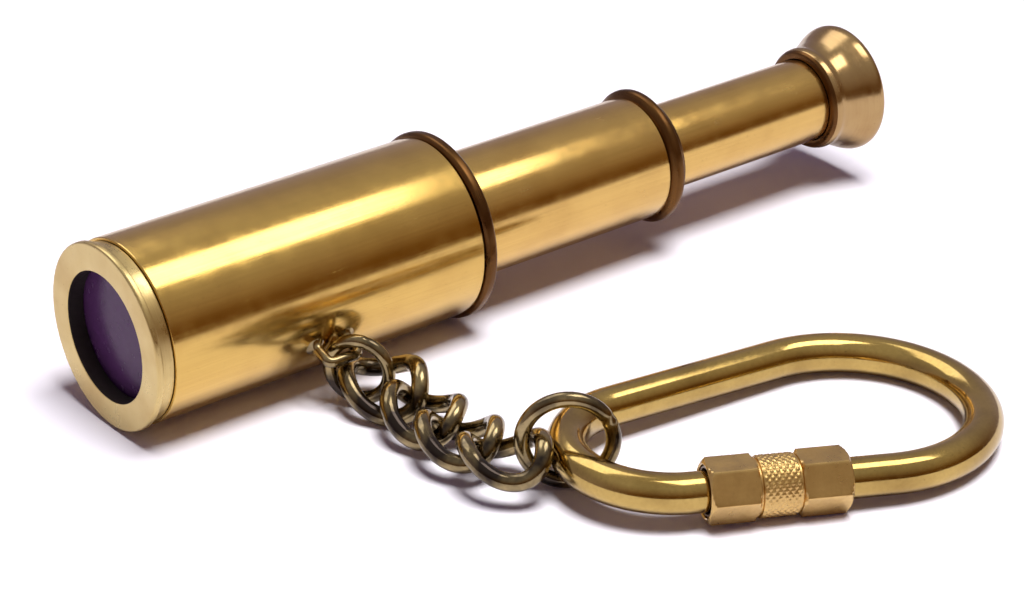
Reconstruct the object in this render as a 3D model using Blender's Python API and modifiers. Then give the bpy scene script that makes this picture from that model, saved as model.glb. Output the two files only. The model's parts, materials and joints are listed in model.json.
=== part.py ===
"""A pocket kaleidoscope in a brass three-draw spyglass body, on a curb chain with a key ring.

Metres, +Z up. The tube lies along X with the object cell at -X and the eyepiece at +X.
The origin is the middle of the object's footprint, at the height of the surface it lies on.
"""
import math

import bmesh
import bpy
from mathutils import Euler, Matrix, Vector

MM = 0.001

# The main tube, measured along the axis from the front face.
BARREL_RADIUS = 10.0 * MM
BARREL_BORE = 9.5 * MM
BARREL_FRONT = 2.3 * MM
BARREL_REAR = 41.1 * MM
COLLAR_RADIUS = 10.45 * MM
COLLAR_REAR = 43.0 * MM
AXIS_HEIGHT = COLLAR_RADIUS

# The turning cap and the object cell inside its skirt.
CAP_RADIUS = 10.15 * MM
CAP_HOLE = 7.1 * MM
CAP_FLANGE = 0.75 * MM
CAP_NECK_REAR = 2.2 * MM
CAP_NECK_RADIUS = 9.65 * MM
SKIRT_RADIUS = 9.35 * MM
SKIRT_BORE = 8.75 * MM
SKIRT_REAR = 8.5 * MM
SNAP_GROOVE = (6.9 * MM, 7.9 * MM)
SNAP_GROOVE_RADIUS = 9.0 * MM
CELL_RADIUS = 8.6 * MM
CELL_BORE = 7.6 * MM
FRONT_WINDOW = (2.0 * MM, 3.0 * MM)
CELL_SPACER = (3.1 * MM, 6.0 * MM)
CELL_WINDOW = (6.1 * MM, 7.0 * MM)
CELL_RETAINER = (7.1 * MM, 8.3 * MM)
CHIP_RADIUS = 0.95 * MM
CHIP_STEP = math.radians(20)

# The mirror prism, which the mount holds from the front.
MOUNT = (8.8 * MM, 10.2 * MM)
SLEEVE_RADIUS = 4.25 * MM
SLEEVE_BORE = 4.05 * MM
SLEEVE = (8.9 * MM, 43.5 * MM)
PRISM = (9.1 * MM, 43.3 * MM)
PRISM_CORNER = 3.95 * MM
MIRROR_THICKNESS = 0.7 * MM
MIRROR_GAP = 0.1 * MM

# The two draws, at full length.
LARGE_RADIUS = 6.95 * MM
LARGE_BORE = 6.5 * MM
LARGE = (36.6 * MM, 69.2 * MM)
LARGE_STOP_REAR = 39.4 * MM
SMALL_RADIUS = 4.85 * MM
SMALL_BORE = 4.45 * MM
SMALL = (62.4 * MM, 95.9 * MM)
SMALL_STOP_REAR = 66.2 * MM
RUNNING_GAP = 0.13 * MM
MIDDLE_COLLAR_RADIUS = 7.7 * MM
MIDDLE_COLLAR_REAR = 72.0 * MM

# The eyepiece.
EYE_FRONT = 94.6 * MM
EYE_REAR = 101.2 * MM
EYE_RIM_RADIUS = 7.4 * MM
EYE_BODY_RADIUS = 6.0 * MM
LENS_RADIUS = 5.05 * MM
LENS = (96.4 * MM, 97.8 * MM)
LENS_RETAINER = (97.9 * MM, 99.2 * MM)
EYE_HOLE = 2.6 * MM

# The lug on the barrel's side and the ring that hangs in it.
LUG_X = 21.4 * MM
LUG_ANGLE = math.radians(20.7)
LUG_REACH = 12.7 * MM
LUG_HALF_WIDTH = 1.9 * MM
LUG_WIRE = 0.6 * MM
JUMP_RADIUS = 3.3 * MM
JUMP_WIRE = 0.7 * MM
JUMP_CENTRE = Vector((22.85, -12.35, 4.4)) * MM
JUMP_HEADING = math.radians(-56)

# The curb chain: half length, half width and wire radius of a link, and the step between links.
LINK_HALF_LENGTH = 4.75 * MM
LINK_HALF_WIDTH = 3.55 * MM
LINK_WIRE = 0.9 * MM
LINK_TWIST = math.radians(45)
LINK_STEP = 6.9 * MM
FIRST_LINK = Vector((24.35, -14.9, 3.3)) * MM
LINK_HEADINGS = (-82, -98.5, -90.7, -79.3)
LINK_DIPS = (4.6, 0.3, -6.1, -6.6)
LINK_ROLLS = (18.7, 1, 0, 2.5)

# The ring between the chain and the key ring.
END_RING_RADIUS = 4.6 * MM
END_RING_WIRE = 0.8 * MM
END_RING_CENTRE = Vector((29.55, -38.72, 5.4)) * MM
END_RING_HEADING = math.radians(-35.5)

# The key ring: two arcs of one plane joined by straight runs, and the lock in its near run.
RING_WIRE = 2.1 * MM
NOSE = Vector((29.0, -40.5, 3.85)) * MM
RING_DIP = math.radians(2.31)
SMALL_ARC = (Vector((9.5, -2.5)) * MM, 9.8 * MM)
BIG_ARC = (Vector((30.0, -7.8)) * MM, 13.4 * MM)
LOCK_START = 1.3 * MM
LOCK_LENGTH = 14.6 * MM
WIRE_GAP = (3.6 * MM, 8.2 * MM)
LOCK_BORE = 2.33 * MM
BUSH_RADIUS = 2.55 * MM
LOCK_FLAT_RADIUS = 2.95 * MM
LOCK_WAIST_RADIUS = 3.15 * MM
LOCK_WAIST_LENGTH = 4.4 * MM

ROUND_STEPS = 36
FINE_STEPS = 24
BARREL_STEPS = 40
CELL_STEPS = 28
WIRE_SIDES = 2
LINK_POINTS = 24
KEY_WIRE_SIDES = 4

collection = None
origin = None


def clear_scene():
    for thing in list(bpy.data.objects):
        bpy.data.objects.remove(thing)


def make_material(name, colour, metallic, roughness, glassy=0.0):
    material = bpy.data.materials.new(name)
    material.use_nodes = True
    shader = material.node_tree.nodes["Principled BSDF"]
    shader.inputs["Base Color"].default_value = (*colour, 1)
    shader.inputs["Metallic"].default_value = metallic
    shader.inputs["Roughness"].default_value = roughness
    shader.inputs["Transmission Weight"].default_value = glassy
    material.diffuse_color = (*colour, 1)
    return material


def make_empty(name, location, rotation=(0, 0, 0), parent=None):
    empty = bpy.data.objects.new(name, None)
    empty.location = location
    empty.rotation_euler = rotation
    empty.parent = parent
    collection.objects.link(empty)
    return empty


def place(thing, parent, material):
    thing.parent = parent
    thing.data.materials.append(material)
    if thing.name not in collection.objects:
        collection.objects.link(thing)
    return thing


def smooth(mesh, degrees=35):
    mesh.shade_smooth()
    mesh.set_sharp_from_angle(angle=math.radians(degrees))


def turned(name, outline, material, parent, steps=ROUND_STEPS):
    """Spin an outline of (distance along the axis, radius) points about the parent's X axis.

    The outline runs along its outer side from +X to -X, and back along its inner side.
    """
    mesh = bpy.data.meshes.new(name)
    points = [(radius, 0, along) for along, radius in outline]
    edges = [(i, i + 1) for i in range(len(points) - 1)]
    if outline[0][1] > 0:
        edges.append((len(points) - 1, 0))
    mesh.from_pydata(points, edges, [])
    thing = bpy.data.objects.new(name, mesh)
    thing.rotation_euler = (0, math.pi / 2, 0)
    screw = thing.modifiers.new("Spin", "SCREW")
    screw.axis = "Z"
    screw.steps = steps
    screw.render_steps = steps
    screw.use_merge_vertices = True
    screw.merge_threshold = 0.001 * MM
    screw.use_smooth_shade = False
    return place(thing, parent, material)


def ring_outline(front, rear, outer, inner, edge=0.12 * MM):
    """A plain ring or tube with a small chamfer at each outer edge."""
    return [
        (rear, outer - edge),
        (rear - edge, outer),
        (front + edge, outer),
        (front, outer - edge),
        (front, inner),
        (rear, inner),
    ]


def disc_outline(front, rear, radius, edge=0.1 * MM):
    return [
        (rear, 0),
        (rear, radius - edge),
        (rear - edge, radius),
        (front + edge, radius),
        (front, radius - edge),
        (front, 0),
    ]


def bead(centre, half_width, base, height, count=6):
    """A half-round bead's points, from its +X side over the crest to its -X side."""
    points = []
    for i in range(count + 1):
        turn = math.pi * i / count
        points.append((centre + half_width * math.cos(turn), base + height * math.sin(turn)))
    return points


def wire(name, points, radius, material, parent, closed=True, sides=WIRE_SIDES):
    curve = bpy.data.curves.new(name, "CURVE")
    curve.dimensions = "3D"
    curve.bevel_depth = radius
    curve.bevel_resolution = sides
    curve.use_fill_caps = True
    spline = curve.splines.new("POLY")
    spline.points.add(len(points) - 1)
    for place_on, point in zip(spline.points, points):
        place_on.co = (*point, 1)
    spline.use_cyclic_u = closed
    return place(bpy.data.objects.new(name, curve), parent, material)


def circle_points(radius, count):
    return [
        Vector((radius * math.cos(math.tau * i / count), 0, radius * math.sin(math.tau * i / count)))
        for i in range(count)
    ]


def object_cell(axis, brass, violet, clear, card):
    outline = [
        (SKIRT_REAR, SKIRT_RADIUS - 0.2 * MM),
        (SKIRT_REAR - 0.2 * MM, SKIRT_RADIUS),
        (SNAP_GROOVE[1], SKIRT_RADIUS),
        (SNAP_GROOVE[1], SNAP_GROOVE_RADIUS),
        (SNAP_GROOVE[0], SNAP_GROOVE_RADIUS),
        (SNAP_GROOVE[0], SKIRT_RADIUS),
        (CAP_NECK_REAR, SKIRT_RADIUS),
        (CAP_NECK_REAR, CAP_NECK_RADIUS),
        (CAP_FLANGE, CAP_NECK_RADIUS),
        (CAP_FLANGE, CAP_RADIUS - 0.15 * MM),
        (CAP_FLANGE - 0.15 * MM, CAP_RADIUS),
        (0.3 * MM, CAP_RADIUS - 0.02 * MM),
        (0.1 * MM, CAP_RADIUS - 0.15 * MM),
        (0, CAP_RADIUS - 0.4 * MM),
        (0, CAP_HOLE + 0.15 * MM),
        (0.15 * MM, CAP_HOLE),
        (FRONT_WINDOW[0] - 0.12 * MM, CAP_HOLE),
        (FRONT_WINDOW[0] - 0.12 * MM, SKIRT_BORE),
        (SKIRT_REAR, SKIRT_BORE),
    ]
    turned("front_cap", outline, brass, axis, BARREL_STEPS)
    turned("front_window", disc_outline(*FRONT_WINDOW, CELL_RADIUS), violet, axis, CELL_STEPS)
    turned("cell_spacer", ring_outline(*CELL_SPACER, CELL_RADIUS, CELL_BORE), card, axis, CELL_STEPS)
    turned("cell_window", disc_outline(*CELL_WINDOW, CELL_RADIUS), clear, axis, CELL_STEPS)
    turned("cell_retainer", ring_outline(*CELL_RETAINER, CELL_RADIUS, CELL_BORE), brass, axis, CELL_STEPS)


def chip_mesh(kind):
    """One loose piece of the picture: a bead, a cut gem, a tile, a rod, a star or a shard."""
    mesh = bpy.data.meshes.new("chip")
    body = bmesh.new()
    r = CHIP_RADIUS
    if kind == "bead":
        bmesh.ops.create_icosphere(body, subdivisions=2, radius=0.85 * r)
    elif kind == "gem":
        bmesh.ops.create_icosphere(body, subdivisions=1, radius=r)
        bmesh.ops.scale(body, vec=(0.8, 1, 0.9), verts=body.verts)
    elif kind == "tile":
        bmesh.ops.create_cube(body, size=1.1 * r)
        bmesh.ops.scale(body, vec=(0.7, 1.2, 1), verts=body.verts)
    elif kind == "rod":
        bmesh.ops.create_cone(body, cap_ends=True, segments=10, radius1=0.45 * r, radius2=0.45 * r, depth=1.6 * r)
    elif kind == "star":
        bmesh.ops.create_cone(body, cap_ends=True, segments=5, radius1=r, radius2=0.7 * r, depth=0.8 * r)
        bmesh.ops.rotate(body, matrix=Matrix.Rotation(math.pi / 2, 3, "Y"), verts=body.verts)
    else:
        bmesh.ops.create_cone(body, cap_ends=True, segments=3, radius1=r, radius2=0.5 * r, depth=0.9 * r)
        bmesh.ops.rotate(body, matrix=Matrix.Rotation(math.pi / 2, 3, "Y"), verts=body.verts)
    bmesh.ops.recalc_face_normals(body, faces=body.faces)
    body.to_mesh(mesh)
    body.free()
    return mesh


def loose_chips(axis, materials):
    """Six chips lie in a row along the bottom of the chamber."""
    kinds = ("bead", "gem", "tile", "rod", "star", "shard")
    middle = (CELL_SPACER[0] + CELL_SPACER[1]) / 2
    reach = CELL_BORE - CHIP_RADIUS - RUNNING_GAP
    for i, (kind, material) in enumerate(zip(kinds, materials)):
        chip = bpy.data.objects.new(f"chip_{i + 1}", chip_mesh(kind))
        turn = (i - (len(kinds) - 1) / 2) * CHIP_STEP
        aside = (0.3 if i % 2 else -0.3) * MM
        chip.location = (middle + aside, reach * math.sin(turn), -reach * math.cos(turn))
        chip.rotation_euler = (0.4 * i, 0, 0)
        place(chip, axis, material)


def barrel(axis, brass):
    outline = ring_outline(BARREL_FRONT, BARREL_REAR, BARREL_RADIUS, BARREL_BORE)
    turned("barrel", outline, brass, axis, BARREL_STEPS)
    outline = [
        (COLLAR_REAR, BARREL_RADIUS - 0.7 * MM),
        (COLLAR_REAR - 0.25 * MM, BARREL_RADIUS - 0.4 * MM),
    ]
    base = BARREL_RADIUS - 0.2 * MM
    outline += bead(BARREL_REAR + 0.85 * MM, 0.7 * MM, base, COLLAR_RADIUS - base)
    outline += [
        (BARREL_REAR + 0.12 * MM, BARREL_RADIUS - 0.3 * MM),
        (BARREL_REAR + 0.12 * MM, SKIRT_RADIUS),
        (LARGE_STOP_REAR + 0.2 * MM, SKIRT_RADIUS),
        (LARGE_STOP_REAR + 0.2 * MM, LARGE_RADIUS + RUNNING_GAP),
        (COLLAR_REAR, LARGE_RADIUS + RUNNING_GAP),
    ]
    turned("barrel_collar", outline, brass, axis, BARREL_STEPS)
    snap = (SNAP_GROOVE[0] + 0.15 * MM, SNAP_GROOVE[1] - 0.15 * MM)
    outline = ring_outline(*snap, BARREL_BORE - 0.08 * MM, SNAP_GROOVE_RADIUS + 0.1 * MM, 0.05 * MM)
    turned("snap_ring", outline, brass, axis)


def mirror_prism(axis, brass, card, mirror):
    mount = ring_outline(*MOUNT, BARREL_BORE - 0.12 * MM, SLEEVE_RADIUS + 0.1 * MM)
    turned("mirror_mount", mount, brass, axis)
    sleeve = ring_outline(*SLEEVE, SLEEVE_RADIUS, SLEEVE_BORE, 0.04 * MM)
    turned("mirror_sleeve", sleeve, card, axis, FINE_STEPS)
    inner_corner = PRISM_CORNER - 2 * MIRROR_THICKNESS
    half_angle = math.pi / 3
    for i in range(3):
        curve = bpy.data.curves.new(f"mirror_{i + 1}", "CURVE")
        curve.dimensions = "2D"
        curve.fill_mode = "BOTH"
        curve.extrude = (PRISM[1] - PRISM[0]) / 2
        spline = curve.splines.new("POLY")
        spline.points.add(3)
        deep = PRISM_CORNER * math.cos(half_angle)
        shallow = inner_corner * math.cos(half_angle)
        wide = PRISM_CORNER * math.sin(half_angle) - MIRROR_GAP
        narrow = inner_corner * math.sin(half_angle) - MIRROR_GAP
        corners = ((-wide, deep), (-narrow, shallow), (narrow, shallow), (wide, deep))
        for point, (across, out) in zip(spline.points, corners):
            point.co = (across, out, 0, 1)
        spline.use_cyclic_u = True
        strip = bpy.data.objects.new(f"mirror_{i + 1}", curve)
        turn = math.tau * i / 3
        strip.rotation_euler = (Matrix.Rotation(turn, 3, "X") @ Matrix.Rotation(math.pi / 2, 3, "Y")).to_euler()
        strip.location = ((PRISM[0] + PRISM[1]) / 2, 0, 0)
        place(strip, axis, mirror)


def large_draw(parent, brass):
    turned("draw_tube_large", ring_outline(*LARGE, LARGE_RADIUS, LARGE_BORE), brass, parent)
    stop = (LARGE[0] + 0.1 * MM, LARGE_STOP_REAR)
    turned("draw_stop_large", ring_outline(*stop, SKIRT_RADIUS, LARGE_RADIUS + 0.1 * MM), brass, parent)
    front = LARGE[1] + 0.1 * MM
    spigot_front = SMALL_STOP_REAR + 0.2 * MM
    outline = [
        (MIDDLE_COLLAR_REAR, SMALL_RADIUS + 1.1 * MM),
        (MIDDLE_COLLAR_REAR - 0.4 * MM, LARGE_RADIUS - 0.3 * MM),
        (MIDDLE_COLLAR_REAR - 1.0 * MM, LARGE_RADIUS - 0.1 * MM),
    ]
    base = LARGE_RADIUS - 0.1 * MM
    outline += bead(front + 0.95 * MM, 0.75 * MM, base, MIDDLE_COLLAR_RADIUS - base, 8)
    outline += [
        (front, LARGE_RADIUS - 0.25 * MM),
        (front, LARGE_BORE - 0.12 * MM),
        (spigot_front, LARGE_BORE - 0.12 * MM),
        (spigot_front, SMALL_RADIUS + RUNNING_GAP),
        (MIDDLE_COLLAR_REAR, SMALL_RADIUS + RUNNING_GAP),
    ]
    turned("middle_collar", outline, brass, parent)


def small_draw(parent, brass, clear, black):
    turned("draw_tube_small", ring_outline(*SMALL, SMALL_RADIUS, SMALL_BORE), brass, parent, CELL_STEPS)
    stop = (SMALL[0] + 0.1 * MM, SMALL_STOP_REAR)
    outline = ring_outline(*stop, LARGE_BORE - RUNNING_GAP, SMALL_RADIUS + 0.1 * MM)
    turned("draw_stop_small", outline, brass, parent, CELL_STEPS)
    body = EYE_BODY_RADIUS
    seat = LENS[0] - 0.1 * MM
    outline = [
        (EYE_REAR, EYE_RIM_RADIUS - 1.5 * MM),
        (EYE_REAR, EYE_RIM_RADIUS - 0.6 * MM),
        (EYE_REAR - 0.1 * MM, EYE_RIM_RADIUS - 0.3 * MM),
        (EYE_REAR - 0.35 * MM, EYE_RIM_RADIUS - 0.08 * MM),
        (EYE_REAR - 0.8 * MM, EYE_RIM_RADIUS),
        (EYE_REAR - 1.4 * MM, EYE_RIM_RADIUS - 0.15 * MM),
        (EYE_REAR - 2.2 * MM, EYE_RIM_RADIUS - 0.55 * MM),
        (EYE_REAR - 3.2 * MM, body + 0.3 * MM),
        (EYE_REAR - 4.2 * MM, body),
        (EYE_FRONT + 1.7 * MM, body - 0.06 * MM),
        (EYE_FRONT + 1.0 * MM, body),
        (EYE_FRONT + 0.4 * MM, body - 0.15 * MM),
        (EYE_FRONT + 0.1 * MM, body - 0.4 * MM),
        (EYE_FRONT, body - 0.8 * MM),
        (EYE_FRONT, SMALL_RADIUS + 0.1 * MM),
        (SMALL[1] + 0.1 * MM, SMALL_RADIUS + 0.1 * MM),
        (SMALL[1] + 0.1 * MM, LENS_RADIUS - 0.7 * MM),
        (seat, LENS_RADIUS - 0.7 * MM),
        (seat, LENS_RADIUS + 0.1 * MM),
        (LENS_RETAINER[1] + 0.1 * MM, LENS_RADIUS + 0.1 * MM),
        (EYE_REAR - 0.5 * MM, EYE_RIM_RADIUS - 1.9 * MM),
    ]
    turned("eyepiece", outline, brass, parent)
    lens = [
        (LENS[1], 0),
        (LENS[1] - 0.06 * MM, 2.0 * MM),
        (LENS[1] - 0.25 * MM, 3.6 * MM),
        (LENS[1] - 0.6 * MM, LENS_RADIUS),
        (LENS[0] + 0.1 * MM, LENS_RADIUS),
        (LENS[0], LENS_RADIUS - 0.1 * MM),
        (LENS[0], 0),
    ]
    turned("eyepiece_lens", lens, clear, parent, CELL_STEPS)
    retainer = [
        (LENS_RETAINER[1], LENS_RADIUS - 0.1 * MM),
        (LENS_RETAINER[1] - 0.1 * MM, LENS_RADIUS),
        (LENS_RETAINER[0], LENS_RADIUS),
        (LENS_RETAINER[0], EYE_HOLE),
        (LENS_RETAINER[0] + 0.4 * MM, EYE_HOLE),
        (LENS_RETAINER[1], EYE_HOLE + 1.2 * MM),
    ]
    turned("lens_retainer", retainer, black, parent, CELL_STEPS)


def lug_and_jump_ring(axis, brass, dark_brass):
    """The lug is a staple along the barrel, and the ring hangs from it."""
    side = make_empty("lug_side", (LUG_X, 0, 0), (math.pi / 2 + LUG_ANGLE, 0, 0), axis)
    foot = BARREL_RADIUS + 0.15 * MM
    bend = 0.7 * MM
    points = [Vector((-LUG_HALF_WIDTH, 0, foot))]
    for corner in (math.pi, math.pi / 2):
        middle_x = (LUG_HALF_WIDTH - bend) * (-1 if corner == math.pi else 1)
        for i in range(5):
            turn = corner - math.pi / 2 * i / 4
            height = LUG_REACH - bend + bend * math.sin(turn)
            points.append(Vector((middle_x + bend * math.cos(turn), 0, height)))
    points.append(Vector((LUG_HALF_WIDTH, 0, foot)))
    wire("chain_lug", points, LUG_WIRE, brass, side, closed=False)
    middle = make_empty("jump_ring_middle", JUMP_CENTRE, (0, 0, JUMP_HEADING), origin)
    wire("jump_ring", circle_points(JUMP_RADIUS, 24), JUMP_WIRE, dark_brass, middle)


def link_points():
    """A long oval turned about its long axis, by the twist one way at one end and back at the other."""
    points = []
    for i in range(LINK_POINTS):
        turn = math.tau * i / LINK_POINTS
        along = math.cos(turn)
        across = LINK_HALF_WIDTH * math.sin(turn)
        lean = LINK_TWIST * along
        points.append(Vector((LINK_HALF_LENGTH * along, across * math.cos(lean), across * math.sin(lean))))
    return points


def chain(dark_brass):
    """Each link's middle is half a step on from the last one's along both their directions."""
    centre = FIRST_LINK.copy()
    half_step = Vector((LINK_STEP / 2, 0, 0))
    turns = [
        Euler((math.radians(roll), math.radians(dip), math.radians(heading)), "XYZ")
        for heading, dip, roll in zip(LINK_HEADINGS, LINK_DIPS, LINK_ROLLS)
    ]
    for i, turn in enumerate(turns):
        if i:
            centre = centre + turns[i - 1].to_matrix() @ half_step + turn.to_matrix() @ half_step
        middle = make_empty(f"link_{i + 1}_middle", centre, turn, origin)
        wire(f"chain_link_{i + 1}", link_points(), LINK_WIRE, dark_brass, middle)
    middle = make_empty("end_ring_middle", END_RING_CENTRE, (0, 0, END_RING_HEADING), origin)
    wire("end_ring", circle_points(END_RING_RADIUS, 28), END_RING_WIRE, dark_brass, middle)


def near_run():
    """Where the near straight run starts on the small arc, its direction and its length."""
    (small, small_radius), (big, big_radius) = SMALL_ARC, BIG_ARC
    between = big - small
    heading = math.atan2(between.y, between.x) - math.asin((big_radius - small_radius) / between.length)
    along = Vector((math.cos(heading), math.sin(heading)))
    out = Vector((along.y, -along.x))
    start = small + out * small_radius
    length = (big + out * big_radius - start).length
    return start, along, length, heading


def key_ring_points():
    """From the gap's far side, round the big arc, back along the far run and round the small arc."""
    start, along, length, heading = near_run()
    (small, small_radius), (big, big_radius) = SMALL_ARC, BIG_ARC
    between = big - small
    spread = 2 * math.asin((big_radius - small_radius) / between.length)
    points = [start + along * WIRE_GAP[1], start + along * (WIRE_GAP[1] + length) / 2]
    first = heading - math.pi / 2
    sweep = math.pi + spread
    for i in range(23):
        turn = first + sweep * i / 22
        points.append(big + Vector((math.cos(turn), math.sin(turn))) * big_radius)
    back = first + sweep
    for i in range(19):
        turn = back + (math.tau - sweep) * i / 18
        points.append(small + Vector((math.cos(turn), math.sin(turn))) * small_radius)
    points.append(start + along * WIRE_GAP[0])
    return [point.to_3d() for point in points]


def hex_and_waist_outline():
    """The lock's two hexagon ends and its round waist as (start, end, radius, sides) steps."""
    waist_front = (LOCK_LENGTH - LOCK_WAIST_LENGTH) / 2
    waist_rear = waist_front + LOCK_WAIST_LENGTH
    corner = LOCK_FLAT_RADIUS / math.cos(math.pi / 6)
    return (
        (0, waist_front + 0.2 * MM, corner, 6),
        (waist_front, waist_rear, LOCK_WAIST_RADIUS, 40),
        (waist_rear - 0.2 * MM, LOCK_LENGTH, corner, 6),
    )


def bar(name, start, end, radius, sides):
    """A straight bar with its length on X; a hexagon bar has a flat downwards."""
    mesh = bpy.data.meshes.new(name)
    body = bmesh.new()
    bmesh.ops.create_cone(body, cap_ends=True, segments=sides, radius1=radius, radius2=radius, depth=end - start)
    bmesh.ops.rotate(body, matrix=Matrix.Rotation(math.pi / 2, 3, "Y"), verts=body.verts)
    bmesh.ops.translate(body, vec=((start + end) / 2, 0, 0), verts=body.verts)
    body.to_mesh(mesh)
    body.free()
    return bpy.data.objects.new(name, mesh)


def key_ring_and_lock(cutters, ring_brass, brass):
    ring = make_empty("key_ring_plane", NOSE, (0, RING_DIP, 0), origin)
    wire("key_ring", key_ring_points(), RING_WIRE, ring_brass, ring, closed=False, sides=KEY_WIRE_SIDES)
    start, along, _, heading = near_run()
    lock_start = start + along * LOCK_START
    lock = make_empty("lock_axis", lock_start.to_3d(), (0, 0, heading), ring)
    steps = [bar(f"lock_step_{i}", *step) for i, step in enumerate(hex_and_waist_outline())]
    bore = bar("lock_bore", -1 * MM, LOCK_LENGTH + 1 * MM, BUSH_RADIUS + 0.1 * MM, 32)
    sleeve, others = steps[0], steps[1:]
    sleeve.name = "lock_sleeve"
    for other in others + [bore]:
        other.parent = lock
        other.hide_render = True
        other.display_type = "WIRE"
        cutters.objects.link(other)
    for other in others:
        join = sleeve.modifiers.new("Join", "BOOLEAN")
        join.operation = "UNION"
        join.object = other
    cut = sleeve.modifiers.new("Bore", "BOOLEAN")
    cut.operation = "DIFFERENCE"
    cut.object = bore
    place(sleeve, lock, brass)
    bush = ring_outline(0.2 * MM, LOCK_LENGTH - 0.2 * MM, BUSH_RADIUS, LOCK_BORE, 0.05 * MM)
    turned("lock_bush", bush, brass, lock, FINE_STEPS)


def smooth_round_pieces():
    for thing in collection.objects:
        if thing.type == "MESH":
            smooth(thing.data)


def footprint_middle():
    """The key ring's near side, the barrel collar's far side and the tube's two ends bound the object."""
    near = NOSE.y + BIG_ARC[0].y - BIG_ARC[1] - RING_WIRE
    far = COLLAR_RADIUS
    return Vector((EYE_REAR / 2, (near + far) / 2, 0))


def main():
    global collection, origin
    clear_scene()
    collection = bpy.data.collections.new("Kaleidoscope")
    cutters = bpy.data.collections.new("Cutters")
    bpy.context.scene.collection.children.link(collection)
    bpy.context.scene.collection.children.link(cutters)
    brass = make_material("Polished brass", (0.72, 0.50, 0.16), 1.0, 0.18)
    dark_brass = make_material("Chain brass", (0.46, 0.33, 0.15), 1.0, 0.32)
    ring_brass = make_material("Key ring brass", (0.58, 0.42, 0.13), 1.0, 0.25)
    violet = make_material("Violet glass", (0.18, 0.10, 0.24), 0.0, 0.08, 0.8)
    clear = make_material("Clear glass", (0.9, 0.92, 0.92), 0.0, 0.05, 0.95)
    mirror = make_material("Mirror strip", (0.85, 0.86, 0.88), 1.0, 0.03)
    card = make_material("Black card", (0.03, 0.03, 0.03), 0.0, 0.8)
    black = make_material("Black brass", (0.05, 0.045, 0.04), 0.6, 0.4)
    chip_colours = (
        (0.75, 0.05, 0.08), (0.05, 0.2, 0.7), (0.9, 0.6, 0.05),
        (0.05, 0.5, 0.2), (0.8, 0.2, 0.5), (0.1, 0.55, 0.6),
    )
    chips = [make_material(f"Chip {i + 1}", colour, 0.0, 0.1, 0.5) for i, colour in enumerate(chip_colours)]
    origin = make_empty("footprint_origin", -footprint_middle())
    axis = make_empty("tube_axis", (0, 0, AXIS_HEIGHT), (0, 0, 0), origin)
    object_cell(axis, brass, violet, clear, card)
    loose_chips(axis, chips)
    barrel(axis, brass)
    mirror_prism(axis, brass, card, mirror)
    large_draw(axis, brass)
    small_draw(axis, brass, clear, black)
    lug_and_jump_ring(axis, brass, dark_brass)
    chain(dark_brass)
    key_ring_and_lock(cutters, ring_brass, brass)
    smooth_round_pieces()


main()
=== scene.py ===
import json
import math

import bmesh
import bpy
from mathutils import Euler, Matrix, Vector


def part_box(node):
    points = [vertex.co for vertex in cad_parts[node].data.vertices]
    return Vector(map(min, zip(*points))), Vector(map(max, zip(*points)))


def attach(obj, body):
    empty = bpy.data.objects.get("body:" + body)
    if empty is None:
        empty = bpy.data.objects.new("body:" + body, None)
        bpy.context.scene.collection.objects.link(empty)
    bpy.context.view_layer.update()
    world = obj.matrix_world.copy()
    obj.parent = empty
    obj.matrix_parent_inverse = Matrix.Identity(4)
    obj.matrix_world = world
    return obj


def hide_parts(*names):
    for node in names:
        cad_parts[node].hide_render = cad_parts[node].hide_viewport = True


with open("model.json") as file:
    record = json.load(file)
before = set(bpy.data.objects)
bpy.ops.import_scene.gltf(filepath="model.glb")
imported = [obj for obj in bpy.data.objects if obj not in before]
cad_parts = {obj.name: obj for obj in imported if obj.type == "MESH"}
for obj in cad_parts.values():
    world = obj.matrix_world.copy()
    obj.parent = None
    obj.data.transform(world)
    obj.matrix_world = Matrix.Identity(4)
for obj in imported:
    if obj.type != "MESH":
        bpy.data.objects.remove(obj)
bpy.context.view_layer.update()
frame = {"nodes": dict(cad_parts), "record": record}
nodes = frame["nodes"]
record = frame["record"]
BODY_OF = {node: body for body, members in record["behaviour"]["bodies"].items() for node in members}
MM = 0.001

# Lengths below are in millimetres from the front face of the cap, on the tube's axis.
FRONT_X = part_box("front_cap")[0].x
AXIS_Y = (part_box("barrel")[0].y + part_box("barrel")[1].y) / 2
AXIS_Z = (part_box("barrel")[0].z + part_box("barrel")[1].z) / 2
ZERO = Matrix.Translation(Vector((FRONT_X, AXIS_Y, 0)))
TUBE = Matrix.Translation(Vector((FRONT_X, AXIS_Y, AXIS_Z)))


# ---------------------------------------------------------------- camera, floor and light

def add_camera():
    azimuth, elevation, roll = math.radians(-37.29), math.radians(27.54), math.radians(-0.46)
    level = math.cos(elevation)
    back = Vector((math.sin(azimuth) * level, -math.cos(azimuth) * level, math.sin(elevation)))
    right = Vector((0, 0, 1)).cross(back).normalized()
    up = back.cross(right)
    c, s = math.cos(roll), math.sin(roll)
    right, up = c * right + s * up, -s * right + c * up
    data = bpy.data.cameras.new("camera")
    data.sensor_fit = "HORIZONTAL"
    data.sensor_width = 36
    data.lens = 127.8
    data.clip_start = 0.01
    data.clip_end = 20
    camera = bpy.data.objects.new("camera", data)
    turn = Matrix((right, up, back)).transposed().to_4x4()
    place = Vector((FRONT_X, AXIS_Y, 0)) + Vector((-165.01, -285.275, 184.15)) * MM
    camera.matrix_world = Matrix.Translation(place) @ turn
    bpy.context.scene.collection.objects.link(camera)
    bpy.context.scene.camera = camera


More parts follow.
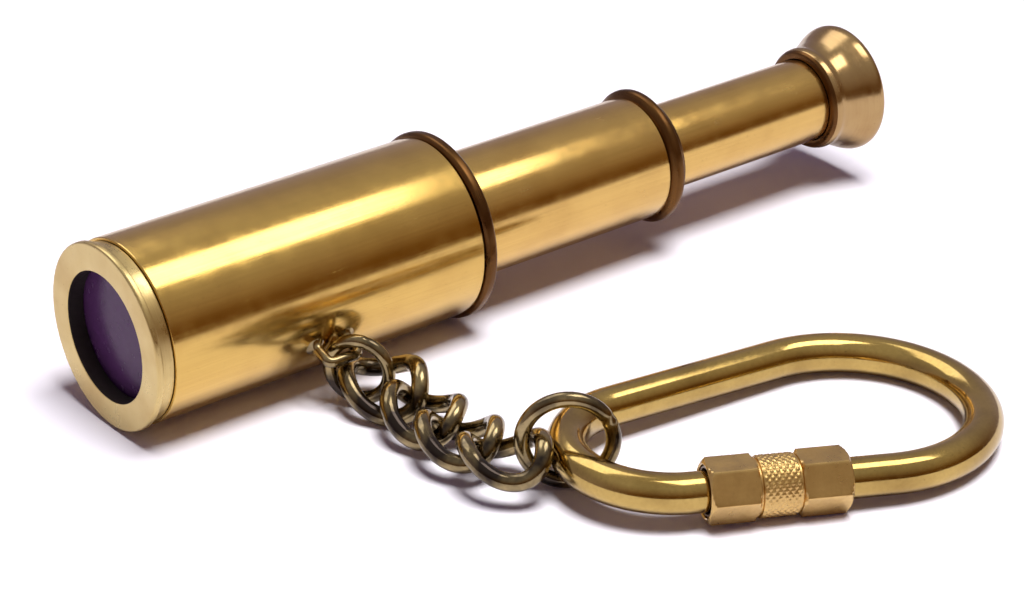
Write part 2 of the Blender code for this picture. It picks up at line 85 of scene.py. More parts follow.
def add_area(name, direction, distance, size, radiance, colour, mirrored):
    """A rectangular softbox, long side along X; it is either mirrored in the brass or lights the floor."""
    back = Vector(direction).normalized()
    along = (Vector((1, 0, 0)) - back * back.x).normalized()
    data = bpy.data.lights.new(name, "AREA")
    data.shape = "RECTANGLE"
    data.size, data.size_y = size
    data.energy = radiance * math.pi * size[0] * size[1]
    data.color = colour
    light = bpy.data.objects.new(name, data)
    turn = Matrix((along, back.cross(along), back)).transposed().to_4x4()
    light.matrix_world = Matrix.Translation(back * distance) @ turn
    light.visible_glossy = mirrored
    light.visible_diffuse = not mirrored
    bpy.context.scene.collection.objects.link(light)


def add_world():
    """A room dim and warm on the camera's side and grey behind; matt surfaces get a faint violet fill."""
    world = bpy.data.worlds.new("studio")
    world.use_nodes = True
    tree = world.node_tree
    background = tree.nodes["Background"]
    coordinate = tree.nodes.new("ShaderNodeTexCoord")
    split = tree.nodes.new("ShaderNodeSeparateXYZ")
    tree.links.new(coordinate.outputs["Generated"], split.inputs[0])
    sides = []
    for stops in (FRONT_ROOM, BACK_ROOM):
        ramp = tree.nodes.new("ShaderNodeValToRGB")
        tree.links.new(split.outputs["Z"], ramp.inputs[0])
        while len(ramp.color_ramp.elements) < len(stops):
            ramp.color_ramp.elements.new(0.5)
        for element, (at, colour) in zip(ramp.color_ramp.elements, stops):
            element.position = at
            element.color = (*colour, 1)
        sides.append(ramp.outputs[0])
    side = remap(tree, split.outputs["Y"], -0.45, 0.35, 0, 1)
    path = tree.nodes.new("ShaderNodeLightPath")
    room = blend_colours(tree, side, *sides)
    seen = blend_colours(tree, path.outputs["Is Diffuse Ray"], room, SHADOW_FILL)
    tree.links.new(seen, background.inputs[0])
    bpy.context.scene.world = world


SHADOW_FILL = (0.075, 0.05, 0.11)
FRONT_ROOM = (
    (0.0, (0.13, 0.060, 0.012)),
    (0.22, (0.15, 0.075, 0.02)),
    (0.46, (0.30, 0.23, 0.18)),
    (0.8, (0.42, 0.39, 0.37)),
)
BACK_ROOM = ((0.0, (0.30, 0.25, 0.29)), (0.45, (0.30, 0.26, 0.28)), (0.8, (0.42, 0.39, 0.38)))


PAPER = (0.93, 0.91, 0.95)
MIRRORED_PAPER = (0.68, 0.66, 0.66)


def add_floor():
    """Pale paper that the brass mirrors a little darker, as if only its middle were lit."""
    mesh = bpy.data.meshes.new("floor")
    body = bmesh.new()
    bmesh.ops.create_circle(body, cap_ends=True, segments=96, radius=1.6)
    body.to_mesh(mesh)
    body.free()
    floor = bpy.data.objects.new("floor", mesh)
    bpy.context.scene.collection.objects.link(floor)
    material = bpy.data.materials.new("floor paper")
    material.use_nodes = True
    shader = material.node_tree.nodes["Principled BSDF"]
    path = material.node_tree.nodes.new("ShaderNodeLightPath")
    paper = blend_colours(material.node_tree, path.outputs["Is Glossy Ray"], PAPER, MIRRORED_PAPER)
    material.node_tree.links.new(paper, shader.inputs["Base Color"])
    shader.inputs["Roughness"].default_value = 0.85
    shader.inputs["Specular IOR Level"].default_value = 0.1
    mesh.materials.append(material)


# ---------------------------------------------------------------- materials

def node(tree, kind, inputs=None, **settings):
    made = tree.nodes.new(kind)
    for key, value in settings.items():
        setattr(made, key, value)
    for key, value in (inputs or {}).items():
        if isinstance(value, bpy.types.NodeSocket):
            tree.links.new(value, made.inputs[key])
        else:
            made.inputs[key].default_value = value
    return made


def mapped_noise(tree, coordinate, scale, detail=3.0, roughness=0.5):
    mapping = node(tree, "ShaderNodeMapping", {"Vector": coordinate, "Scale": scale})
    inputs = {"Vector": mapping.outputs[0], "Scale": 1.0, "Detail": detail, "Roughness": roughness}
    return node(tree, "ShaderNodeTexNoise", inputs).outputs["Fac"]


def remap(tree, value, low, high, to_low, to_high):
    inputs = {"Value": value, "From Min": low, "From Max": high, "To Min": to_low, "To Max": to_high}
    return node(tree, "ShaderNodeMapRange", inputs).outputs[0]


def blend_colours(tree, factor, first, second, kind="MIX"):
    made = node(tree, "ShaderNodeMix", data_type="RGBA", blend_type=kind)
    for key, value in ((0, factor), (6, first), (7, second)):
        if isinstance(value, bpy.types.NodeSocket):
            tree.links.new(value, made.inputs[key])
        else:
            made.inputs[key].default_value = value if key == 0 else (*value, 1)
    return made.outputs[2]


LENGTHWISE = (70, 7000, 7000)
RINGS = (9000, 260, 260)
EVEN = (2500, 2500, 2500)


def brass(name, colour, dark, roughness, grain=LENGTHWISE, depth=0.2, tarnish_and_painted_shade=0.25, speck=0.4, coat=0.6):
    """Lacquered brass with tool or polishing lines one way, smudges and small specks of patina."""
    material = bpy.data.materials.new(name)
    material.use_nodes = True
    tree = material.node_tree
    shader = tree.nodes["Principled BSDF"]
    shader.inputs["Metallic"].default_value = 1.0
    shader.inputs["Coat Weight"].default_value = coat
    shader.inputs["Coat Roughness"].default_value = 0.12
    coordinate = tree.nodes.new("ShaderNodeTexCoord").outputs["Object"]
    lines = mapped_noise(tree, coordinate, grain, 2.0)
    clouds = mapped_noise(tree, coordinate, (160, 160, 160), 4.0)
    smudge = mapped_noise(tree, coordinate, (420, 420, 420), 5.0, 0.6)
    specks = mapped_noise(tree, coordinate, (3800, 3800, 3800), 2.0)
    # Dark clouds: random tarnish on most parts; on the chain and the collars, with a large amount, they are
    # painted shade.
    base = blend_colours(tree, remap(tree, clouds, 0.45, 0.75, 0.0, tarnish_and_painted_shade), colour, dark)
    base = blend_colours(tree, remap(tree, lines, 0.3, 0.7, 0.0, 0.14), base, dark)
    darkest = tuple(0.45 * c for c in dark)
    base = blend_colours(tree, remap(tree, specks, 0.68, 0.78, 0.0, speck), base, darkest)
    tree.links.new(base, shader.inputs["Base Color"])
    smudged = remap(tree, smudge, 0.35, 0.7, roughness * 0.8, roughness * 1.35)
    lined = remap(tree, lines, 0.3, 0.7, -0.03, 0.05)
    total = node(tree, "ShaderNodeMath", {0: smudged, 1: lined}, operation="ADD")
    tree.links.new(total.outputs[0], shader.inputs["Roughness"])
    height = node(tree, "ShaderNodeMath", {0: lines, 1: 0.5}, operation="MULTIPLY")
    pits = node(tree, "ShaderNodeMath", {0: specks, 1: 0.25}, operation="MULTIPLY")
    both = node(tree, "ShaderNodeMath", {0: height.outputs[0], 1: pits.outputs[0]}, operation="ADD")
    bump = node(tree, "ShaderNodeBump", {"Height": both.outputs[0], "Strength": depth, "Distance": 0.02 * MM})
    tree.links.new(bump.outputs[0], shader.inputs["Normal"])
    return material


def glass(name, colour, roughness, transmission, ior=1.5):
    material = bpy.data.materials.new(name)
    material.use_nodes = True
    tree = material.node_tree
    shader = tree.nodes["Principled BSDF"]
    shader.inputs["Transmission Weight"].default_value = transmission
    shader.inputs["IOR"].default_value = ior
    coordinate = tree.nodes.new("ShaderNodeTexCoord").outputs["Object"]
    dust = mapped_noise(tree, coordinate, (900, 900, 900), 4.0)
    dusty = blend_colours(tree, remap(tree, dust, 0.4, 0.8, 0, 0.35), colour, tuple(0.8 * c for c in colour))
    tree.links.new(dusty, shader.inputs["Base Color"])
    tree.links.new(remap(tree, dust, 0.4, 0.75, roughness, roughness + 0.08), shader.inputs["Roughness"])
    return material


def matt(name, colour, roughness, metallic=0.0):
    material = bpy.data.materials.new(name)
    material.use_nodes = True
    tree = material.node_tree
    shader = tree.nodes["Principled BSDF"]
    shader.inputs["Metallic"].default_value = metallic
    coordinate = tree.nodes.new("ShaderNodeTexCoord").outputs["Object"]
    fibres = mapped_noise(tree, coordinate, (2200, 5200, 5200), 4.0)
    tone = blend_colours(tree, remap(tree, fibres, 0.35, 0.7, 0, 1), colour, tuple(1.6 * c for c in colour))
    tree.links.new(tone, shader.inputs["Base Color"])
    uneven = remap(tree, fibres, 0.3, 0.7, roughness - 0.1, roughness + 0.1)
    tree.links.new(uneven, shader.inputs["Roughness"])
    bump = node(tree, "ShaderNodeBump", {"Height": fibres, "Strength": 0.4, "Distance": 0.03 * MM})
    tree.links.new(bump.outputs[0], shader.inputs["Normal"])
    return material


GOLD = (0.82, 0.54, 0.14)
BROWN = (0.42, 0.20, 0.03)
tube_brass = brass("tube brass", GOLD, BROWN, 0.17)
face_brass = brass("cap brass", (0.78, 0.61, 0.27), BROWN, 0.32, RINGS, coat=0.2)
# Collars and the eyepiece's front bead: near-black brown brass, a painted reflection of the dark room the
# collars mirror and painted shadow of the groove before the eyepiece bell.
collar_brass_painted_shade = brass(
    "collar brass painted dark as shade", (0.17, 0.078, 0.022), (0.07, 0.026, 0.01), 0.3, RINGS, tarnish_and_painted_shade=0.8, coat=0.06,
)
draw_brass = brass("draw brass", (0.82, 0.53, 0.15), BROWN, 0.18)
eye_brass = brass(
    "eyepiece brass", (0.55, 0.37, 0.16), (0.30, 0.14, 0.05), 0.19, RINGS, 0.12, tarnish_and_painted_shade=0.5, coat=0.3,
)
inner_brass = brass("inner brass", (0.62, 0.43, 0.17), BROWN, 0.35, RINGS)
groove_brass = brass(
    "patina in the groove", (0.16, 0.08, 0.025), (0.06, 0.025, 0.01), 0.35, RINGS, tarnish_and_painted_shade=0.6,
)
# The chain: antiqued brass, and also painted shade. Its darkened base and the near-black clouds (amount 2,
# which clamps to full cover) stand for the shadow it lies in and the dark it mirrors.
antiqued_chain_with_painted_shade = brass(
    "antiqued chain brass with painted shade", (0.42, 0.32, 0.15), (0.025, 0.014, 0.008), 0.15, EVEN, tarnish_and_painted_shade=2.0, speck=0.8,
)
ring_brass = brass("key ring brass", (0.62, 0.43, 0.12), (0.20, 0.10, 0.01), 0.12, EVEN, 0.12, tarnish_and_painted_shade=0.5)
lock_brass = brass("lock brass", (0.80, 0.55, 0.20), BROWN, 0.34, EVEN, 0.06, tarnish_and_painted_shade=0.3)
violet_glass = glass("violet glass", (0.085, 0.028, 0.10), 0.22, 0.0)
violet_glass.node_tree.nodes["Principled BSDF"].inputs["Specular IOR Level"].default_value = 0.22
clear_glass = glass("clear glass", (0.93, 0.95, 0.94), 0.02, 0.95)
black_card = matt("black card", (0.02, 0.019, 0.018), 0.8)
black_brass = matt("blackened brass", (0.016, 0.011, 0.010), 0.5, 0.3)
mirror = brass("mirror", (0.88, 0.89, 0.92), (0.7, 0.71, 0.75), 0.05, EVEN, 0.02, 0.05, 0.05, 0.0)


# ---------------------------------------------------------------- shape helpers

def add_piece(name, mesh, matrix, stands_for, materials, angle=32):
    """Places a finished mesh, rides it on the body of the CAD nodes it stands for and hides those."""
    mesh.shade_smooth()
    mesh.set_sharp_from_angle(angle=math.radians(angle))
    for material in materials:
        mesh.materials.append(material)
    piece = bpy.data.objects.new(name, mesh)
    piece.matrix_world = matrix
    bpy.context.scene.collection.objects.link(piece)
    bpy.context.view_layer.update()
    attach(piece, BODY_OF[stands_for])
    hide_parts(stands_for)
    return piece


def rounded(corners, arc_steps=5):
    """Outline points from (x, radius, fillet, material) corners; a filleted corner becomes an arc."""
    points = []
    count = len(corners)
    for i, (x, r, fillet, slot) in enumerate(corners):
        here = Vector((x, r))
        if fillet <= 0:
            points.append((x, r, slot))
            continue
        before = Vector(corners[i - 1][:2]) - here
        after = Vector(corners[(i + 1) % count][:2]) - here
        size = min(fillet, 0.45 * before.length, 0.45 * after.length)
        start = here + before.normalized() * size
        end = here + after.normalized() * size
        for k in range(arc_steps + 1):
            t = k / arc_steps
            at = start * (1 - t) ** 2 + here * 2 * t * (1 - t) + end * t ** 2
            points.append((at.x, at.y, corners[i - 1][3] if t < 0.5 else slot))
    return points


def lathe(name, corners, stands_for, materials, matrix=TUBE, steps=144, angle=32):
    """Turns an outline about the X axis. It is a closed loop, or it starts and ends on the axis."""
    points = rounded(corners)
    mesh = bpy.data.meshes.new(name)
    body = bmesh.new()
    rings = []
    for x, r, _ in points:
        if r < 1e-6:
            rings.append([body.verts.new((x * MM, 0, 0))])
            continue
        ring = []
        for k in range(steps):
            turn = math.tau * k / steps
            ring.append(body.verts.new((x * MM, r * MM * math.sin(turn), r * MM * math.cos(turn))))
        rings.append(ring)
    closed = points[0][1] > 1e-6
    for i in range(len(rings) if closed else len(rings) - 1):
        first, second = rings[i], rings[(i + 1) % len(rings)]
        for k in range(steps):
            j = (k + 1) % steps
            if len(first) == 1:
                face = body.faces.new((first[0], second[j], second[k]))
            elif len(second) == 1:
                face = body.faces.new((first[k], first[j], second[0]))
            else:
                face = body.faces.new((first[k], first[j], second[j], second[k]))
            face.material_index = points[i][2]
    bmesh.ops.recalc_face_normals(body, faces=body.faces)
    body.to_mesh(mesh)
    body.free()
    return add_piece(name, mesh, matrix, stands_for, materials, angle)


def frames_along(points, closed):
    """A direction and two side vectors at each point, carried along without twist."""
    count = len(points)
    tangents = []
    for i in range(count):
        if closed:
            along = points[(i + 1) % count] - points[i - 1]
        else:
            along = points[min(i + 1, count - 1)] - points[max(i - 1, 0)]
        tangents.append(along.normalized())
    side = tangents[0].orthogonal().normalized()
    sides = [side]
    for i in range(1, count):
        side = tangents[i - 1].rotation_difference(tangents[i]) @ side
        side = (side - tangents[i] * side.dot(tangents[i])).normalized()
        sides.append(side)
    if closed:
        side = tangents[-1].rotation_difference(tangents[0]) @ sides[-1]
        twist = math.atan2(side.cross(sides[0]).dot(tangents[0]), side.dot(sides[0]))
        for i in range(count):
            sides[i] = Matrix.Rotation(twist * i / count, 3, tangents[i]) @ sides[i]
    return [(t, s, t.cross(s)) for t, s in zip(tangents, sides)]


def sweep(name, points, radius, stands_for, materials, matrix, closed=True, sides=24, angle=40):
    """A wire along points in millimetres; radius(i, turn) is its radius at a point and an angle round it."""
    mesh = bpy.data.meshes.new(name)
    body = bmesh.new()
    rings = []
    for i, (point, (_, side, other)) in enumerate(zip(points, frames_along(points, closed))):
        ring = []
        for k in range(sides):
            turn = math.tau * k / sides
            reach = radius(i, turn)
            offset = (side * math.cos(turn) + other * math.sin(turn)) * reach
            ring.append(body.verts.new((point + offset) * MM))
        rings.append(ring)
    for i in range(len(rings) if closed else len(rings) - 1):
        first, second = rings[i], rings[(i + 1) % len(rings)]
        for k in range(sides):
            j = (k + 1) % sides
            body.faces.new((first[k], first[j], second[j], second[k]))
    if not closed:
        body.faces.new(list(reversed(rings[0])))
        body.faces.new(rings[-1])
    bmesh.ops.recalc_face_normals(body, faces=body.faces)
    body.to_mesh(mesh)
    body.free()
    return add_piece(name, mesh, matrix, stands_for, materials, angle)


def seamed(radius, count, seam, depth=0.06):
    """A wire's radius with the fine gap where its two ends were closed."""
    def at(i, turn):
        away = min((i - seam) % count, (seam - i) % count)
        return radius - (depth if away == 0 else 0.02 if away == 1 else 0)
    return at


# ---------------------------------------------------------------- the cap, the tube and the draws

def make_cap():
    corners = [
        (8.5, 9.15, 0, 0),
        (8.3, 9.35, 0, 0),
        (7.9, 9.35, 0, 0),
        (7.9, 9.0, 0, 0),
        (6.9, 9.0, 0, 0),
        (6.9, 9.35, 0, 0),
        (2.2, 9.35, 0, 1),
        (2.2, 9.65, 0, 0),
        (0.75, 9.65, 0.05, 0),
        (0.75, 10.15, 0.14, 0),
        (0, 10.15, 0.34, 0),
        (0, 7.1, 0.16, 2),
        (1.88, 7.1, 0, 2),
        (1.88, 8.75, 0, 2),
        (8.5, 8.75, 0, 0),
    ]
    lathe("cap_turned", corners, "front_cap", [face_brass, groove_brass, black_brass], steps=160)
    window = [(3.0, 0, 0, 0), (3.0, 8.6, 0.1, 0), (2.0, 8.6, 0.1, 0), (2.0, 0, 0, 0)]
    lathe("front_window_polished", window, "front_window", [violet_glass])


def make_tube():
    barrel = [
        (41.1, 9.5, 0, 0),
        (41.1, 10.0, 0.15, 0),
        (2.3, 10.0, 0.18, 0),
        (2.3, 9.5, 0.05, 0),
    ]
    lathe("barrel_polished", barrel, "barrel", [tube_brass], steps=160)
    collar = [
        (43.0, 7.1, 0.1, 0),
        (43.0, 9.3, 0.25, 0),
        (42.75, 9.75, 0.2, 0),
        (42.65, 10.1, 0.12, 0),
        (42.35, 10.42, 0.15, 0),
        (41.95, 10.45, 0.2, 0),
        (41.55, 10.42, 0.15, 0),
        (41.27, 10.1, 0.12, 0),
        (41.22, 9.7, 0, 0),
        (41.22, 9.35, 0, 0),
        (39.6, 9.35, 0, 0),
        (39.6, 7.1, 0, 0),
    ]
    lathe("barrel_collar_turned", collar, "barrel_collar", [collar_brass_painted_shade], steps=160)
    large = [(69.2, 6.5, 0, 0), (69.2, 6.95, 0.12, 0), (36.6, 6.95, 0.1, 0), (36.6, 6.5, 0, 0)]
    lathe("large_draw_polished", large, "draw_tube_large", [draw_brass])
    middle = [
        (72.0, 5.0, 0.1, 0),
        (72.0, 5.9, 0.15, 0),
        (71.6, 6.65, 0.2, 0),
        (71.0, 6.85, 0.1, 0),
        (70.95, 7.2, 0.12, 0),
        (70.65, 7.62, 0.18, 0),
        (70.25, 7.7, 0.2, 0),
        (69.85, 7.62, 0.18, 0),
        (69.5, 7.2, 0.12, 0),
        (69.32, 6.8, 0.05, 0),
        (69.32, 6.4, 0, 0),
        (66.4, 6.4, 0, 0),
        (66.4, 5.0, 0, 0),
    ]
    lathe("middle_collar_turned", middle, "middle_collar", [collar_brass_painted_shade])
    small = [(95.9, 4.45, 0, 0), (95.9, 4.85, 0.1, 0), (62.4, 4.85, 0.1, 0), (62.4, 4.45, 0, 0)]
    lathe("small_draw_polished", small, "draw_tube_small", [draw_brass])


def make_eyepiece():
    eyepiece = [
        (101.2, 5.9, 0.08, 0),
        (101.2, 6.75, 0.1, 0),
        (101.1, 7.1, 0.12, 0),
        (100.85, 7.32, 0.15, 0),
        (100.4, 7.4, 0.25, 0),
        (99.8, 7.25, 0.4, 0),
        (99.0, 6.85, 0.5, 0),
        (98.0, 6.3, 0.6, 0),
        (97.0, 6.0, 0.5, 0),
        (96.3, 5.88, 0.3, 0),
        (95.6, 6.0, 0.3, 0),
        # Material 2 on the front bead is the darkened collar brass: painted shadow of the groove in front of
        # the bell.
        (95.05, 5.85, 0.15, 2),
        (94.7, 5.6, 0.12, 2),
        (94.6, 5.2, 0.08, 2),
        (94.6, 4.95, 0, 1),
        (96.0, 4.95, 0, 1),
        (96.0, 4.35, 0, 1),
        (96.3, 4.35, 0, 1),
        (96.3, 5.15, 0, 1),
        (99.3, 5.15, 0, 1),
        (100.7, 5.5, 0.1, 0),
    ]
    lathe("eyepiece_turned", eyepiece, "eyepiece", [eye_brass, black_brass, collar_brass_painted_shade])
    lens = [
        (97.8, 0, 0, 0),
        (97.74, 2.0, 0.4, 0),
        (97.55, 3.6, 0.3, 0),
        (97.2, 5.05, 0.05, 0),
        (96.4, 5.05, 0.1, 0),
        (96.4, 0, 0, 0),
    ]
    lathe("eye_lens_polished", lens, "eyepiece_lens", [clear_glass])
    stop = [
        (99.2, 4.95, 0.08, 0),
        (97.9, 5.05, 0, 0),
        (97.9, 2.6, 0.08, 0),
        (98.3, 2.6, 0.15, 0),
        (99.2, 3.8, 0.1, 0),
    ]
    lathe("lens_retainer_turned", stop, "lens_retainer", [black_brass])


# ---------------------------------------------------------------- the lug, the chain and the rings

LUG_X, LUG_ANGLE, LUG_REACH, LUG_HALF_WIDTH, LUG_WIRE = 21.4, math.radians(20.7), 12.7, 1.9, 0.6
JUMP_RADIUS, JUMP_WIRE = 3.3, 0.7
JUMP_MIDDLE, JUMP_HEADING = Vector((22.85, -12.35, 4.4)), -56
LINK_HALF_LENGTH, LINK_HALF_WIDTH, LINK_WIRE = 4.75, 3.55, 0.94
LINK_TWIST, LINK_STEP = math.radians(45), 6.9
FIRST_LINK = Vector((24.35, -14.9, 3.3))
# Each link's heading, dip and roll in degrees.
LINKS = ((-82, 4.6, 18.7), (-98.5, 0.3, 1), (-90.7, -6.1, 0), (-79.3, -6.6, 2.5))
END_RADIUS, END_WIRE = 4.6, 0.8
END_MIDDLE, END_HEADING = Vector((29.55, -38.72, 5.4)), -35.5


def level_turn(heading):
    return Matrix.Rotation(math.radians(heading), 4, "Z")


def make_lug():
    outward = Matrix.Rotation(math.pi / 2 + LUG_ANGLE, 4, "X")
    matrix = TUBE @ Matrix.Translation(Vector((LUG_X * MM, 0, 0))) @ outward
    bend, foot = 0.7, 9.97
    points = [Vector((-LUG_HALF_WIDTH, 0, foot + (LUG_REACH - bend - foot) * k / 8)) for k in range(8)]
    for corner in (math.pi, math.pi / 2):
        middle = (LUG_HALF_WIDTH - bend) * (-1 if corner == math.pi else 1)
        for k in range(9):
            turn = corner - math.pi / 2 * k / 8
            height = LUG_REACH - bend + bend * math.sin(turn)
            points.append(Vector((middle + bend * math.cos(turn), 0, height)))
    points += [Vector((-p.x, 0, p.z)) for p in reversed(points[:8])]

    def flared(i, turn):
        height = points[i].z - foot
        return LUG_WIRE + 0.5 * max(0, 1 - height / 0.55) ** 2

    sweep("lug_wire", points, flared, "chain_lug", [antiqued_chain_with_painted_shade], matrix, closed=False, sides=20)


def ring_points(radius, count):
    turns = [math.tau * i / count for i in range(count)]
    return [Vector((radius * math.cos(turn), 0, radius * math.sin(turn))) for turn in turns]


def make_chain():
    count = 96
    matrix = ZERO @ Matrix.Translation(JUMP_MIDDLE * MM) @ level_turn(JUMP_HEADING)
    circle = ring_points(JUMP_RADIUS, count)
    sweep("jump_ring_wire", circle, seamed(JUMP_WIRE, count, 20), "jump_ring", [antiqued_chain_with_painted_shade], matrix)
    link = []
    for i in range(count):
        turn = math.tau * i / count
        lean = LINK_TWIST * math.cos(turn)
        across = LINK_HALF_WIDTH * math.sin(turn)
        along = LINK_HALF_LENGTH * math.cos(turn)
        link.append(Vector((along, across * math.cos(lean), across * math.sin(lean))))
    centre = FIRST_LINK * MM
    half_step = Vector((LINK_STEP / 2 * MM, 0, 0))
    last = None
    for number, (heading, dip, roll) in enumerate(LINKS, 1):
        turn = Euler((math.radians(roll), math.radians(dip), math.radians(heading)), "XYZ").to_matrix()
        if last:
            centre = centre + last @ half_step + turn @ half_step
        last = turn
        matrix = ZERO @ Matrix.Translation(centre) @ turn.to_4x4()
        radius = seamed(LINK_WIRE, count, 22 if number % 2 else 70)
        sweep(f"link_{number}_wire", link, radius, f"chain_link_{number}", [antiqued_chain_with_painted_shade], matrix)
    matrix = ZERO @ Matrix.Translation(END_MIDDLE * MM) @ level_turn(END_HEADING)
    circle = ring_points(END_RADIUS, count)
    sweep("end_ring_wire", circle, seamed(END_WIRE, count, 8), "end_ring", [antiqued_chain_with_painted_shade], matrix)


# The key ring: two arcs and two straight runs in one plane, from its nose.
NOSE = Vector((29.0, -40.5, 3.85))
RING_DIP = math.radians(2.31)
RING_WIRE = 2.1
SMALL_MIDDLE, SMALL_ARC = Vector((9.5, -2.5)), 9.8
BIG_MIDDLE, BIG_ARC = Vector((30.0, -7.8)), 13.4
LOCK_START, LOCK_LENGTH = 1.3, 14.6
GAP_START, GAP_END = 3.6, 8.2
THREAD_PITCH, THREAD_DEPTH, THREAD_STEP = 1.0, 0.16, 0.125
BETWEEN = BIG_MIDDLE - SMALL_MIDDLE
RUN_HEADING = math.atan2(BETWEEN.y, BETWEEN.x) - math.asin((BIG_ARC - SMALL_ARC) / BETWEEN.length)
RUN = Vector((math.cos(RUN_HEADING), math.sin(RUN_HEADING)))
RUN_START = SMALL_MIDDLE + Vector((RUN.y, -RUN.x)) * SMALL_ARC
RING_PLANE = ZERO @ Matrix.Translation(NOSE * MM) @ Matrix.Rotation(RING_DIP, 4, "Y")


def along_run(start, end, step):
    count = max(1, round(abs(end - start) / step))
    return [RUN_START + RUN * (start + (end - start) * k / count) for k in range(count)]


def make_key_ring():
    run_length = (BIG_MIDDLE + Vector((RUN.y, -RUN.x)) * BIG_ARC - RUN_START).length
    spread = 2 * math.asin((BIG_ARC - SMALL_ARC) / BETWEEN.length)
    points = along_run(GAP_END, LOCK_START + LOCK_LENGTH, THREAD_STEP)
    points += along_run(LOCK_START + LOCK_LENGTH, run_length, 0.6)
    first = RUN_HEADING - math.pi / 2
    sweep_turn = math.pi + spread
    for i in range(73):
        turn = first + sweep_turn * i / 72
        points.append(BIG_MIDDLE + Vector((math.cos(turn), math.sin(turn))) * BIG_ARC)
    back = first + sweep_turn
    end = SMALL_MIDDLE + Vector((math.cos(back), math.sin(back))) * SMALL_ARC
    points += [points[-1].lerp(end, k / 24) for k in range(1, 24)]
    for i in range(61):
        turn = back + (math.tau - sweep_turn) * i / 60
        points.append(SMALL_MIDDLE + Vector((math.cos(turn), math.sin(turn))) * SMALL_ARC)
    points += along_run(0.3, GAP_START, THREAD_STEP)
    points.append(RUN_START + RUN * GAP_START)
    points = [point.to_3d() for point in points]
    count = len(points)

    def threaded(i, turn):
        at = (points[i].to_2d() - RUN_START).dot(RUN)
        on_run = abs((points[i].to_2d() - RUN_START).dot(Vector((RUN.y, -RUN.x)))) < 0.01
        end_round = 0.35 * max(0, 1 - min(i, count - 1 - i) / 4) ** 2
        if not on_run or at < LOCK_START + 0.3 or at > LOCK_START + LOCK_LENGTH - 0.3:
            return RING_WIRE - end_round
        phase = (at / THREAD_PITCH + (turn / math.tau)) % 1
        return RING_WIRE - THREAD_DEPTH * abs(2 * phase - 1) - end_round

    sweep("key_ring_wire", points, threaded, "key_ring", [ring_brass], RING_PLANE, closed=False, sides=40)


LOCK_PLACE = Matrix.Translation((RUN_START + RUN * LOCK_START).to_3d() * MM)
LOCK = RING_PLANE @ LOCK_PLACE @ Matrix.Rotation(RUN_HEADING, 4, "Z")


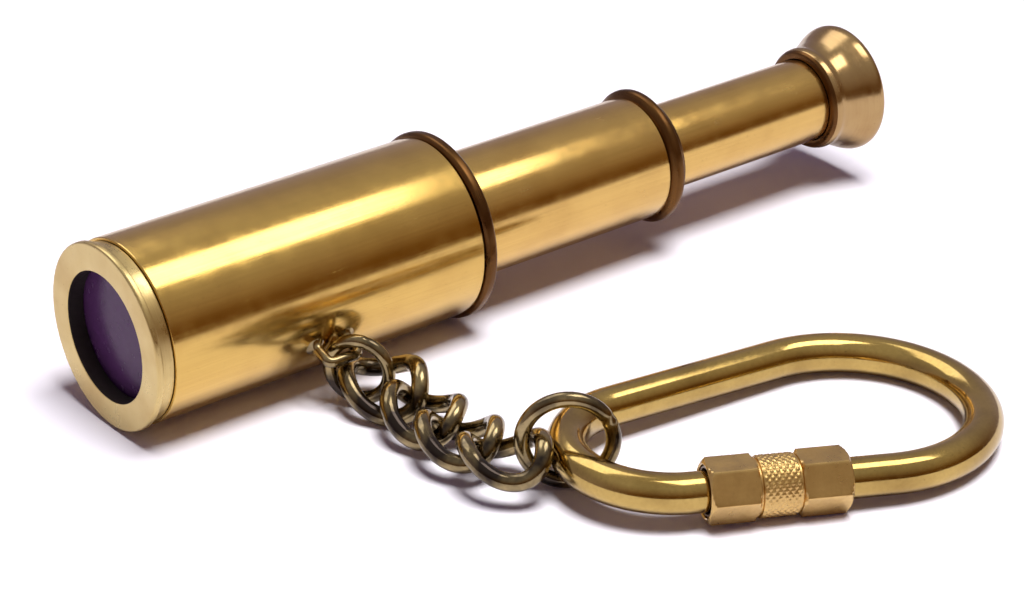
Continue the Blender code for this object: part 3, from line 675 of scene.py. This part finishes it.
def make_lock():
    """Hexagon ends with chamfered corners, and a round waist with a crossed knurl between two grooves."""
    flat, waist, bore = 2.95, 3.15, 2.65
    corner = flat / math.cos(math.pi / 6)
    waist_from, waist_to = (LOCK_LENGTH - 4.4) / 2, (LOCK_LENGTH + 4.4) / 2
    groove = 0.28
    steps = 180
    stations = [0, 0.12, 0.25, 0.4, 0.6, 1.2, 2.2, 3.2, 4.2, 4.7, 4.9]
    stations += [waist_from, waist_from + 0.08, waist_from + groove - 0.06]
    knurl_rows = 40
    knurl_from, knurl_to = waist_from + groove, waist_to - groove
    stations += [knurl_from + (knurl_to - knurl_from) * k / knurl_rows for k in range(knurl_rows + 1)]
    half = [s for s in stations if s < LOCK_LENGTH / 2]
    stations = half + [LOCK_LENGTH - s for s in reversed(half)]

    def reach(x, turn):
        end = min(x, LOCK_LENGTH - x)
        if waist_from < x < waist_to:
            if end < waist_from + groove - 0.01:
                return 2.82
            across = 27 * turn / math.tau
            rise = min(1, (end - waist_from - groove) / 0.15)
            first = abs(2 * ((x / 0.66 + across) % 1) - 1)
            second = abs(2 * ((x / 0.66 - across) % 1) - 1)
            return waist - 0.1 + 0.1 * rise * min(1, 1.5 * min(first, second))
        away = (turn + math.pi / 6) % (math.pi / 3) - math.pi / 6
        hexagon = min(flat / math.cos(away), corner - 0.03)
        chamfer = flat - 0.12 + 1.5 * end
        inner_chamfer = flat + 0.05 + 2.2 * max(0, waist_from - end)
        return min(hexagon, chamfer, max(flat, inner_chamfer))

    mesh = bpy.data.meshes.new("lock_sleeve_milled")
    body = bmesh.new()
    rings = []
    for x in stations:
        rings.append([reach(x, math.tau * k / steps) for k in range(steps)])
    outer = [(x, ring) for x, ring in zip(stations, rings)]
    bevel = 0.12
    loop = outer + [
        (LOCK_LENGTH, [bore + bevel] * steps),
        (LOCK_LENGTH - bevel, [bore] * steps),
        (bevel, [bore] * steps),
        (0, [bore + bevel] * steps),
    ]
    made = []
    for x, ring in loop:
        row = []
        for k, r in enumerate(ring):
            turn = math.tau * k / steps
            row.append(body.verts.new((x * MM, r * MM * math.sin(turn), r * MM * math.cos(turn))))
        made.append(row)
    for i, first in enumerate(made):
        second = made[(i + 1) % len(made)]
        for k in range(steps):
            j = (k + 1) % steps
            body.faces.new((first[k], first[j], second[j], second[k]))
    bmesh.ops.recalc_face_normals(body, faces=body.faces)
    body.to_mesh(mesh)
    body.free()
    add_piece("lock_sleeve_milled", mesh, LOCK, "lock_sleeve", [lock_brass], 28)
    bush = [(14.4, 2.33, 0, 0), (14.4, 2.55, 0.06, 0), (0.2, 2.55, 0.06, 0), (0.2, 2.33, 0.05, 0)]
    lathe("lock_bush_turned", bush, "lock_bush", [groove_brass], LOCK, 64)


# ---------------------------------------------------------------- carried-over CAD nodes

CAD_MATERIALS = {
    "snap_ring": inner_brass, "mirror_mount": inner_brass, "cell_retainer": inner_brass,
    "draw_stop_large": inner_brass, "draw_stop_small": inner_brass,
    "cell_window": clear_glass, "cell_spacer": black_card, "mirror_sleeve": black_card,
    "mirror_1": mirror, "mirror_2": mirror, "mirror_3": mirror,
}
CHIP_COLOURS = (
    (0.75, 0.05, 0.08),
    (0.05, 0.2, 0.7),
    (0.9, 0.6, 0.05),
    (0.05, 0.5, 0.2),
    (0.8, 0.2, 0.5),
    (0.1, 0.55, 0.6),
)


def dress_cad_nodes():
    for i, colour in enumerate(CHIP_COLOURS, 1):
        CAD_MATERIALS[f"chip_{i}"] = glass(f"chip glass {i}", colour, 0.05, 0.6)
    for name, material in CAD_MATERIALS.items():
        nodes[name].data.materials.clear()
        nodes[name].data.materials.append(material)


# ---------------------------------------------------------------- the scene

bpy.context.scene.view_settings.view_transform = "Standard"
add_camera()
add_floor()
add_world()
add_area("overhead softbox", (0.28, -0.13, 0.90), 0.56, (0.32, 0.24), 3.6, (1.0, 0.97, 0.94), True)
add_area("back softbox", (-0.05, 0.60, 0.80), 0.7, (0.5, 0.4), 1.6, (1.0, 0.98, 0.96), True)
add_area("shadow key", (0.02, -0.20, 0.98), 0.85, (0.38, 0.38), 23.0, (1.0, 0.98, 1.0), False)
make_cap()
make_tube()
make_eyepiece()
make_lug()
make_chain()
make_key_ring()
make_lock()
dress_cad_nodes()
